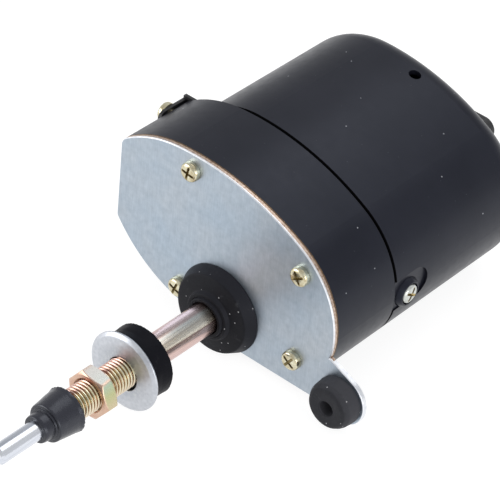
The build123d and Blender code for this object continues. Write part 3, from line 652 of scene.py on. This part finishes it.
def turned(profile, segments, ripple=None, centre=(0.0, 0.0)):
    """Fills a bmesh with a closed profile of radius and station turned about Y."""
    def build(shape):
        rings = []
        for radius, y in profile:
            ring = []
            for index in range(segments):
                angle = math.tau * index / segments
                reach, station = ripple(radius, y, angle) if ripple else (radius, y)
                ring.append(ring_vertex(shape, reach, station, angle, centre))
            rings.append(ring)
        for first, second in zip(rings, rings[1:] + rings[:1]):
            bridge(shape, first, second)
    return build


def wobble(radius, y, angle, scale, seed):
    """Smooth noise from -1 to 1 at a place given by radius, station and angle."""
    x = radius * math.cos(angle) * scale + seed
    z = radius * math.sin(angle) * scale - seed
    return noise.noise(Vector((x, y * scale, z)))


# Bushing, nut and washers

def thread_radius(row, y):
    """Radius of the thread at a row of the helix, faded in behind and chamfered in front."""
    shape = THREAD_SHAPE[row % len(THREAD_SHAPE)]
    fade = min(1.0, max(0.0, (THREAD_REAR - y) / (1.5 * THREAD_PITCH)))
    chamfer = BUSHING_R - END_CHAMFER + (y - BUSHING_FRONT)
    return min(BUSHING_R - THREAD_DEPTH * fade * shape, chamfer)


def thread_rows(shape, segments):
    """A grid that follows the helix, so that crests and grooves are true lines."""
    per_turn = len(THREAD_SHAPE)
    turns = (THREAD_REAR - BUSHING_FRONT) / THREAD_PITCH + 1
    last = math.ceil(turns * per_turn)
    columns = []
    for index in range(segments):
        column = []
        for row in range(last + 1):
            y = BUSHING_FRONT + (row / per_turn + index / segments - 1) * THREAD_PITCH
            y = min(THREAD_REAR, max(BUSHING_FRONT, y))
            column.append(ring_vertex(shape, thread_radius(row, y), y, math.tau * index / segments))
        columns.append(column)
    for index in range(segments):
        here, there = columns[index], columns[(index + 1) % segments]
        shift = per_turn if index == segments - 1 else 0
        for row in range(last):
            low = min(last, row + shift)
            high = min(last, row + 1 + shift)
            corners = [here[row], there[low], there[high], here[row + 1]]
            if low == high:
                corners.pop(2)
            shape.faces.new(corners)


def threaded_bushing():
    """The bushing with a helical thread from its end to under the rubber washer."""
    segments = 72
    rest = [
        (BUSHING_R, THREAD_REAR),
        (BUSHING_R, -FLANGE_THICKNESS),
        (FLANGE_R, -FLANGE_THICKNESS),
        (FLANGE_R, 0.0),
        (NECK_R, 0.0),
        (NECK_R, PLATE_BACK),
        (COLLAR_R, PLATE_BACK),
        (COLLAR_R - 0.2, BUSHING_REAR),
        (BORE_R, BUSHING_REAR),
        (BORE_R, BUSHING_FRONT + SEAT_DEPTH),
        (SEAT_R, BUSHING_FRONT + SEAT_DEPTH),
        (SEAT_R, BUSHING_FRONT),
        (BUSHING_R - END_CHAMFER, BUSHING_FRONT),
    ]

    def build(shape):
        thread_rows(shape, segments)
        rings = [plain_ring(shape, segments, radius, y) for radius, y in rest]
        for first, second in zip(rings, rings[1:]):
            bridge(shape, first, second)

    add_piece("bushing", mesh_of(build, "bushing"), "bushing_zinc", "threaded_bushing")


def dished_washer():
    """A flat washer with a turned back rim, a little out of true."""
    front = DISH_FRONT
    rim = 13.0
    hole = 5.45
    profile = rounded([
        (hole, front + 0.02, 0.3),
        (9.6, front + 0.03, 3.0),
        (rim - 1.2, front + 0.35, 1.2),
        (rim, front + 1.3, 0.35),
        (rim - 0.4, front + 1.9, 0.2),
        (rim - 1.9, front + 1.25, 1.0),
        (9.4, front + 1.0, 2.0),
        (hole, front + 1.0, 0.2),
    ])

    def dent(radius, y, angle):
        reach = radius
        if radius < hole + 0.5:
            reach += 0.36 * math.cos(angle - math.radians(-25))
        return reach, max(front, y + 0.05 * wobble(radius, y, angle, 0.2, 5.0))

    mesh = mesh_of(turned(cut_runs(profile, 0.6), 120, dent), "dish")
    add_piece("dish", mesh, "bright_steel", "dished_washer")


def panel_washer():
    """The thick rubber washer, with a torn edge of flash."""
    front = DISH_FRONT
    radius = 11.6
    profile = rounded([
        (BUSHING_R + FIT, front + 1.02),
        (9.4, front + 1.02),
        (10.9, front + 1.75),
        (radius - 0.2, front + 2.4, 0.5),
        (radius - 0.45, front + 5.5, 2.0),
        (radius - 0.15, WASHER_REAR, 0.4),
        (BUSHING_R + FIT, WASHER_REAR),
    ])

    def torn(reach, y, angle):
        if reach < radius - 1.4:
            return reach, y
        soft = 0.10 * wobble(reach, y, angle, 0.3, 2.0)
        rim = max(0.0, 1 - abs(y - WASHER_REAR) / 1.0)
        flash = 0.30 * rim * max(0.0, wobble(reach, 0, angle, 1.3, 9.0))
        notch = 0.45 * rim * max(0.0, wobble(reach, 0, angle, 0.9, 4.0) - 0.1)
        return min(radius, reach + soft + flash - notch), min(WASHER_REAR, y + notch - 0.2 * rim)

    mesh = mesh_of(turned(cut_runs(profile, 0.5), 160, torn), "rubber_washer")
    piece = add_piece("rubber_washer", mesh, "black_rubber", "panel_washer")
    piece.data.materials[0] = washer_rubber


def hex_nut():
    """A hexagon nut with cone chamfers on both faces and a countersunk bore."""
    segments = 120
    cone_r = NUT_FLATS / 2 * NUT_FACE_SHARE
    slope = math.tan(math.radians(30))
    bore = BUSHING_R + 0.03

    def hexagon(angle):
        turn = (angle - math.radians(NUT_CORNER_ANGLE)) % math.radians(60) - math.radians(30)
        return NUT_FLATS / 2 / math.cos(turn)

    def edge_ring(shape, side):
        ring = []
        for index in range(segments):
            angle = math.tau * index / segments + math.radians(NUT_CORNER_ANGLE)
            reach = hexagon(angle)
            drop = (reach - cone_r) * slope
            y = NUT_FRONT + drop if side < 0 else NUT_REAR - drop
            ring.append(ring_vertex(shape, reach, y, angle))
        return ring

    def round_ring(shape, radius, y):
        return plain_ring(shape, segments, radius, y, math.radians(NUT_CORNER_ANGLE))

    def build(shape):
        rings = [
            round_ring(shape, bore, NUT_FRONT + NUT_SINK),
            round_ring(shape, bore + NUT_SINK, NUT_FRONT),
            round_ring(shape, cone_r, NUT_FRONT),
            edge_ring(shape, -1),
            edge_ring(shape, 1),
            round_ring(shape, cone_r, NUT_REAR),
            round_ring(shape, bore + NUT_SINK, NUT_REAR),
            round_ring(shape, bore, NUT_REAR - NUT_SINK),
        ]
        for first, second in zip(rings, rings[1:] + rings[:1]):
            bridge(shape, first, second)

    piece = add_piece("nut", mesh_of(build, "nut"), "nut_zinc", "hex_nut")
    bevel = piece.modifiers.new("edges", "BEVEL")
    bevel.width = 0.16 * MM
    bevel.segments = 2
    bevel.limit_method = "ANGLE"
    bevel.angle_limit = math.radians(20)


# Rubber

def past_screw(angle, screw):
    """How far out a grommet may reach before it meets a screw head, or None."""
    along = screw.x * math.cos(angle) + screw.y * math.sin(angle)
    aside = screw.length_squared - along * along
    room = (HEAD_R + HEAD_CLEARANCE) ** 2 - aside
    if along < 0 or room <= 0:
        return None
    return along - math.sqrt(room)


def base_grommet():
    """The large grommet: a soft shoulder, a sloping face and a double lip round the tube."""
    base = 14.9
    front = -7.3
    profile = rounded([
        (FLANGE_R + FIT, -0.01),
        (base, -0.01, 0.2),
        (base - 1.8, -4.1, 0.8),
        (8.2, -4.8, 0.4),
        (7.6, -6.2, 0.3),
        (6.7, -6.3, 0.1),
        (6.5, -5.9, 0.1),
        (6.3, front + 0.05, 0.3),
        (5.4, front, 0.2),
        (BUSHING_R + FIT, front + 0.8),
        (BUSHING_R + FIT, -FLANGE_THICKNESS - FIT),
        (FLANGE_R + FIT, -FLANGE_THICKNESS - FIT),
    ])
    limits = [screw for screw in screw_centres() if screw.length < base + HEAD_R]

    def soft(radius, y, angle):
        if radius < BUSHING_R + 0.3 or y > -FLANGE_THICKNESS and radius < FLANGE_R + 0.1:
            return radius, y
        for screw in limits:
            reach = past_screw(angle, screw)
            if reach is not None and reach < radius and y > -HEAD_HEIGHT - HEAD_CLEARANCE:
                return reach, y
        swell = 0.05 * wobble(radius, y, angle, 0.2, 4.0)
        lip = max(0.0, 1 - (y - front) / 1.2) * max(0.0, math.cos(angle - math.radians(130)))
        ragged = 0.35 * lip * wobble(radius, y, angle, 1.4, 6.0)
        station = y + swell + abs(ragged)
        return min(base, radius + swell + max(0.0, ragged)), min(0.0, max(front, station))

    mesh = mesh_of(turned(cut_runs(profile, 0.5), 160, soft), "foot_grommet")
    add_piece("foot_grommet", mesh, "black_rubber", "base_grommet")


def rubber_cap():
    """The stepped cap: a tapered skirt with a ragged rear edge, a small ring and a nose."""
    skirt = 7.4
    shoulder = BUSHING_FRONT - 1.5
    profile = rounded([
        (BUSHING_R + FIT, CAP_REAR),
        (skirt, CAP_REAR, 0.25),
        (skirt - 0.4, CAP_REAR - 1.5, 1.0),
        (6.05, shoulder, 0.5),
        (5.1, shoulder - 0.1, 0.12),
        (5.0, shoulder - 0.6, 0.12),
        (4.5, shoulder - 0.65, 0.1),
        (4.4, CAP_FRONT + 0.9, 0.3),
        (4.2, CAP_FRONT, 0.3),
        (SHAFT_BORE_R, CAP_FRONT),
        (SHAFT_BORE_R, BUSHING_FRONT - 0.01),
        (BUSHING_R - END_CHAMFER, BUSHING_FRONT - 0.01),
        (BUSHING_R + FIT, BUSHING_FRONT + END_CHAMFER),
    ])

    def ragged(radius, y, angle):
        if radius < 4.0 or radius < BUSHING_R + 0.1 and y > BUSHING_FRONT - 0.1:
            return radius, y
        rim = max(0.0, 1 - (CAP_REAR - y) / 0.8)
        torn = 0.42 * rim * wobble(radius, 0, angle, 1.5, 3.0)
        soft = 0.06 * wobble(radius, y, angle, 0.3, 6.0)
        return min(skirt, radius + torn + soft), min(CAP_REAR, y - 1.4 * abs(torn))

    mesh = mesh_of(turned(cut_runs(profile, 0.5), 128, ragged), "cap")
    piece = add_piece("cap", mesh, "black_rubber", "rubber_cap")
    piece.data.materials[0] = cap_rubber


def lug_grommet():
    """The domed grommet in the ear, with a ragged rim and a dark bore."""
    centre = ((LUG_LOW.x + LUG_HIGH.x) / 2, (LUG_LOW.z + LUG_HIGH.z) / 2)
    base = (LUG_HIGH.x - LUG_LOW.x) / 2
    bore = 2.5
    waist = 4.98
    front, rear = LUG_LOW.y, LUG_HIGH.y
    profile = rounded([
        (bore, front + 0.15, 0.4),
        (6.3, front, 1.6),
        (7.5, front + 2.2, 1.6),
        (base, -1.1, 0.5),
        (base - 0.25, -0.01),
        (waist, -0.01),
        (waist, PLATE_BACK + 0.01),
        (6.2, PLATE_BACK + 0.01, 0.2),
        (6.0, rear, 0.5),
        (bore, rear, 0.3),
    ])

    def rough(radius, y, angle):
        if radius < 6.3 or y > -0.05:
            return radius, y
        ragged = 0.10 * wobble(radius, y, angle, 0.9, 8.0)
        ragged += 0.06 * wobble(radius, y, angle, 0.25, 1.0)
        return min(base, radius + ragged), min(-0.01, max(front, y + ragged))

    mesh = mesh_of(turned(cut_runs(profile, 0.5), 120, rough, centre), "ear_grommet")
    piece = add_piece("ear_grommet", mesh, "black_rubber", "lug_grommet")
    piece.data.materials[0] = dusty_rubber


# Screws

def screw_centres():
    """Centres of the cover screws, from the separate solids of their node."""
    shape = bmesh.new()
    shape.from_mesh(frame["nodes"]["cover_screws"].data)
    bmesh.ops.remove_doubles(shape, verts=shape.verts, dist=1e-3 * MM)
    shape.verts.ensure_lookup_table()
    centres = []
    seen = set()
    for seed in shape.verts:
        if seed.index in seen:
            continue
        seen.add(seed.index)
        island = [seed]
        for vertex in island:
            for edge in vertex.link_edges:
                other = edge.other_vert(vertex)
                if other.index not in seen:
                    seen.add(other.index)
                    island.append(other)
        xs = [vertex.co.x / MM for vertex in island]
        zs = [vertex.co.z / MM for vertex in island]
        centres.append(Vector(((min(xs) + max(xs)) / 2, (min(zs) + max(zs)) / 2)))
    shape.free()
    return sorted(centres, key=lambda centre: (round(centre.y), centre.x))


def cross_cutter(shape):
    """A tapered cross that cuts the driver recess."""
    mouth = (-HEAD_HEIGHT - 0.3, RECESS_SPAN + 0.15, RECESS_WIDTH + 0.06)
    bottom = (-HEAD_HEIGHT + RECESS_DEPTH, 0.55 * RECESS_SPAN, 0.7 * RECESS_WIDTH)
    rings = []
    for y, span, width in (mouth, bottom):
        quarter = [(span, -width), (span, width), (width, width)]
        ring = []
        for turn in range(4):
            for across, up in quarter:
                for _ in range(turn):
                    across, up = -up, across
                ring.append(shape.verts.new((across * MM, y * MM, up * MM)))
        rings.append(ring)
    bridge(shape, *rings)
    shape.faces.new(rings[0])
    shape.faces.new(rings[1])


def screw_head():
    """The mesh of one pan head screw along Y, its recess already cut."""
    profile = [
        (0.0, -HEAD_HEIGHT),
        (0.8, -HEAD_HEIGHT),
        (1.7, -HEAD_HEIGHT + 0.04),
        (2.4, -HEAD_HEIGHT + 0.17),
        (2.85, -HEAD_HEIGHT + 0.42),
        (3.1, -HEAD_HEIGHT + 0.8),
        (HEAD_R, -HEAD_HEIGHT + 1.3),
        (HEAD_R, -0.12),
        (HEAD_R - 0.1, 0.0),
        (SHANK_R, 0.0),
        (SHANK_R, SHANK_LENGTH - SHANK_CHAMFER),
        (SHANK_R - SHANK_CHAMFER, SHANK_LENGTH),
        (0.0, SHANK_LENGTH),
    ]

    def build(shape):
        rings = [plain_ring(shape, 48, radius, y) for radius, y in profile]
        for first, second in zip(rings, rings[1:]):
            bridge(shape, first, second)

    head = bpy.data.objects.new("head", mesh_of(build, "head"))
    cutter = bpy.data.objects.new("cutter", mesh_of(cross_cutter, "cutter"))
    for piece in (head, cutter):
        bpy.context.scene.collection.objects.link(piece)
    cut = head.modifiers.new("recess", "BOOLEAN")
    cut.operation = "DIFFERENCE"
    cut.solver = "EXACT"
    cut.object = cutter
    bpy.context.view_layer.update()
    graph = bpy.context.evaluated_depsgraph_get()
    mesh = bpy.data.meshes.new_from_object(head.evaluated_get(graph))
    for piece in (head, cutter):
        bpy.data.objects.remove(piece)
    return mesh


def in_recess(face):
    """Whether a face of the head belongs to its recess."""
    centre = face.calc_center_median() / MM
    aside = math.hypot(centre.x, centre.z)
    depth = centre.y + HEAD_HEIGHT
    return aside < RECESS_SPAN and 0.12 < depth < RECESS_DEPTH + 0.01


def screw_set(name, node, places):
    """One piece of several screws; each place has a seat, a turn of the recess and a lean."""
    head = screw_head()
    shape = bmesh.new()
    for seat, turn, lean in places:
        copy = bmesh.new()
        copy.from_mesh(head)
        for face in copy.faces:
            # Faces of the recess take the second slot, the painted shade.
            face.material_index = 1 if in_recess(face) else 0
        move = Matrix.Translation(Vector(seat) * MM)
        move = move @ Matrix.Rotation(math.radians(lean), 4, "Z")
        copy.transform(move @ Matrix.Rotation(math.radians(turn), 4, "Y"))
        absorb(shape, close_up(copy, "part"))
    mesh = close_up(shape, name)
    indices = [face.material_index for face in mesh.polygons]
    add_piece(name, mesh, "yellow_zinc", node)
    mesh.materials.append(recess_shade)
    mesh.polygons.foreach_set("material_index", indices)
    return mesh


def can_screw_seats():
    """Seat and lean of the right and the left screw that hold the can."""
    low, high = corners_mm("can_screws")
    y = (low.y + high.y) / 2
    right = (high.x - HEAD_HEIGHT, y, low.z + HEAD_R)
    left = (low.x + HEAD_HEIGHT, y, high.z - HEAD_R)
    return (right, 90), (left, -90)


def all_screws():
    """The plate's four screws, the can's two and the bracket's one."""
    turns = (35, 20, 60, 10)
    seats = [(centre.x, 0.0, centre.y) for centre in screw_centres()]
    screw_set("plate_screws", "cover_screws", [(seat, turn, 0) for seat, turn in zip(seats, turns)])
    places = [(seat, turn, lean) for (seat, lean), turn in zip(can_screw_seats(), (30, 15))]
    side = screw_set("side_screws", "can_screws", places)
    side.materials[0] = pale_zinc
    low, high = corners_mm("bracket_screw")
    seat = (low.x + HEAD_HEIGHT, (low.y + high.y) / 2, (low.z + high.z) / 2)
    screw_set("tab_screw", "bracket_screw", [(seat, 40, -90)])


def seam_rim(node):
    """A copy of a node's bevelled rim at the seam, lifted a little."""
    rim = bmesh.new()
    rim.from_mesh(frame["nodes"][node].data)
    low, high = JOINT_SLOPE
    away = []
    for face in rim.faces:
        near = abs(face.calc_center_median().y / MM - SEAM_Y) < JOINT_REACH
        if not (near and low < abs(face.normal.y) < high):
            away.append(face)
    bmesh.ops.delete(rim, geom=away, context="FACES")
    bmesh.ops.remove_doubles(rim, verts=rim.verts, dist=WELD)
    for vertex in rim.verts:
        vertex.co += vertex.normal * JOINT_LIFT * MM
        vertex.co.z = min(vertex.co.z, cad_box[1][2])
    return rim


def widen(rim):
    """Draws the far edge of a rim out along Y."""
    far = max(vertex.co.y for vertex in rim.verts) - 0.05 * MM
    outer = []
    for edge in rim.edges:
        if edge.is_boundary and all(vertex.co.y > far for vertex in edge.verts):
            outer.append(edge)
    made = bmesh.ops.extrude_edge_only(rim, edges=outer)
    for item in made["geom"]:
        if isinstance(item, bmesh.types.BMVert):
            item.co.y += JOINT_WIDTH * MM


def joint_shadow():
    """The black line where the housing and the can meet, laid on their bevelled rims."""
    can_rim = seam_rim("motor_can")
    widen(can_rim)
    shape = seam_rim("gear_housing")
    absorb(shape, close_up(can_rim, "part"))
    piece = add_piece("joint_shadow", close_up(shape, "joint_shadow"), "black_can")
    piece.data.materials[0] = joint_black


def pad_rings():
    """A pressed cone round each screw that holds the can, with a gap about its head."""
    top = -CONE_HEIGHT
    profile = rounded([
        (HEAD_R + FIT, -FIT),
        (5.1, -FIT, 0.05),
        (4.0, top, 0.4),
        (HEAD_R + 0.35, top, 0.1),
        (HEAD_R + 0.30, top + 0.9),
        (HEAD_R + FIT, top + 0.9),
    ])
    shape = bmesh.new()
    for seat, lean in can_screw_seats():
        part = mesh_of(turned(profile, 64), "part")
        move = Matrix.Translation(Vector(seat) * MM)
        part.transform(move @ Matrix.Rotation(math.radians(lean), 4, "Z"))
        absorb(shape, part)
    add_piece("pad_rings", close_up(shape, "pad_rings"), "black_can")


joint_shadow()
pad_rings()
threaded_bushing()
dished_washer()
panel_washer()
hex_nut()
base_grommet()
rubber_cap()
lug_grommet()
all_screws()


# Stage, light and camera

def white_when_seen(material):
    """A matt white surface that the camera sees almost white, its shadow kept faint."""
    tree = material.node_tree
    tree.nodes.clear()
    out = tree.nodes.new("ShaderNodeOutputMaterial")
    matt = tree.nodes.new("ShaderNodeBsdfDiffuse")
    matt.inputs["Color"].default_value = rgba(grey(FLOOR_GREY))
    faint = tree.nodes.new("ShaderNodeBsdfDiffuse")
    faint.inputs["Color"].default_value = rgba(grey(FLOOR_SHADOW))
    glow = tree.nodes.new("ShaderNodeEmission")
    glow.inputs["Strength"].default_value = FLOOR_GLOW
    both = tree.nodes.new("ShaderNodeAddShader")
    tree.links.new(faint.outputs[0], both.inputs[0])
    tree.links.new(glow.outputs[0], both.inputs[1])
    path = tree.nodes.new("ShaderNodeLightPath")
    seen = tree.nodes.new("ShaderNodeMath")
    seen.operation = "MAXIMUM"
    tree.links.new(path.outputs["Is Camera Ray"], seen.inputs[0])
    tree.links.new(path.outputs["Is Glossy Ray"], seen.inputs[1])
    choice = tree.nodes.new("ShaderNodeMixShader")
    tree.links.new(seen.outputs[0], choice.inputs["Fac"])
    tree.links.new(matt.outputs[0], choice.inputs[1])
    tree.links.new(both.outputs[0], choice.inputs[2])
    tree.links.new(choice.outputs[0], out.inputs["Surface"])


def stage_plane():
    """The table top, through the three lowest places of the resting motor."""
    base, lug, can = (Vector(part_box(n)[0]) for n in ("base_grommet", "lug_grommet", "motor_can"))
    foot = Vector((0.0, -0.002, base.z))
    ear = Vector(((lug.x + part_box("lug_grommet")[1].x) / 2, 0.001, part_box("cover_plate")[0].z))
    belly = Vector((0.018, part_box("motor_can")[1].y - 0.009, can.z))
    normal = (ear - foot).cross(belly - foot).normalized()
    if normal.z < 0:
        normal = -normal
    along = normal.orthogonal().normalized() * FLOOR_REACH
    across = normal.cross(along)
    centre = foot - normal * FLOOR_GAP
    corners = [
        centre - along - across,
        centre + along - across,
        centre + along + across,
        centre - along + across,
    ]
    mesh = bpy.data.meshes.new("floor")
    mesh.from_pydata(corners, [], [(0, 1, 2, 3)])
    floor = bpy.data.objects.new("floor", mesh)
    bpy.context.scene.collection.objects.link(floor)
    material = bpy.data.materials.new("floor")
    material.use_nodes = True
    white_when_seen(material)
    mesh.materials.append(material)


def world():
    """A white studio with a darker strip overhead, which shows as a soft band along the can."""
    made = bpy.data.worlds.new("studio")
    made.use_nodes = True
    tree = made.node_tree
    tree.nodes["Background"].inputs["Color"].default_value = rgba((0.97, 0.98, 1.0))

    def step(operation, first, second):
        node = tree.nodes.new("ShaderNodeMath")
        node.operation = operation
        for socket, value in zip(node.inputs, (first, second)):
            feed(tree, value, socket)
        return node.outputs[0]

    def smooth(source, low, high):
        node = tree.nodes.new("ShaderNodeMapRange")
        node.interpolation_type = "SMOOTHSTEP"
        node.inputs["From Min"].default_value = low
        node.inputs["From Max"].default_value = high
        tree.links.new(source, node.inputs["Value"])
        return node.outputs[0]

    coords = tree.nodes.new("ShaderNodeTexCoord")
    split = tree.nodes.new("ShaderNodeSeparateXYZ")
    tree.links.new(coords.outputs["Generated"], split.inputs[0])
    x, y, z = (split.outputs[axis] for axis in "XYZ")
    overhead = step("MULTIPLY", smooth(z, 0.10, 0.50), smooth(y, -0.15, 0.35))
    across = step("MULTIPLY", smooth(x, -0.10, 0.12), step("SUBTRACT", 1.0, smooth(x, 0.22, 0.44)))
    strip = step("MULTIPLY", overhead, across)
    level = step("SUBTRACT", WORLD_LEVEL, step("MULTIPLY", strip, WORLD_LEVEL - STRIP_LEVEL))
    path = tree.nodes.new("ShaderNodeLightPath")
    strength = step("MAXIMUM", level, path.outputs["Is Camera Ray"])
    tree.links.new(strength, tree.nodes["Background"].inputs["Strength"])
    bpy.context.scene.world = made


def softbox(name, place, size, power):
    """A rectangular lamp that faces the motor."""
    data = bpy.data.lights.new(name, "AREA")
    data.shape = "RECTANGLE"
    data.size, data.size_y = size
    data.energy = power
    lamp = bpy.data.objects.new(name, data)
    lamp.location = place
    lamp.rotation_euler = (Vector(LAMP_TARGET) - Vector(place)).to_track_quat("-Z", "Y").to_euler()
    bpy.context.scene.collection.objects.link(lamp)


def camera():
    """The camera that the photograph was taken with, as far as its outlines tell."""
    data = bpy.data.cameras.new("camera")
    data.sensor_width = SENSOR
    data.lens = FOCAL_PIXELS * SENSOR / IMAGE_PIXELS
    eye = bpy.data.objects.new("camera", data)
    axes = Matrix((CAMERA_RIGHT, CAMERA_UP, CAMERA_BACK)).transposed()
    eye.matrix_world = Matrix.Translation(CAMERA_PLACE) @ axes.to_quaternion().to_matrix().to_4x4()
    bpy.context.scene.collection.objects.link(eye)
    bpy.context.scene.camera = eye


stage_plane()
world()
softbox("key", (-0.95, -0.90, 0.22), (0.9, 0.9), 10.0)
softbox("top", (0.05, 0.55, 1.0), (0.8, 0.7), 2.6)
softbox("side", (1.10, -0.35, 0.20), (0.8, 0.6), 4.6)
camera()

bpy.context.scene.view_settings.view_transform = "Standard"
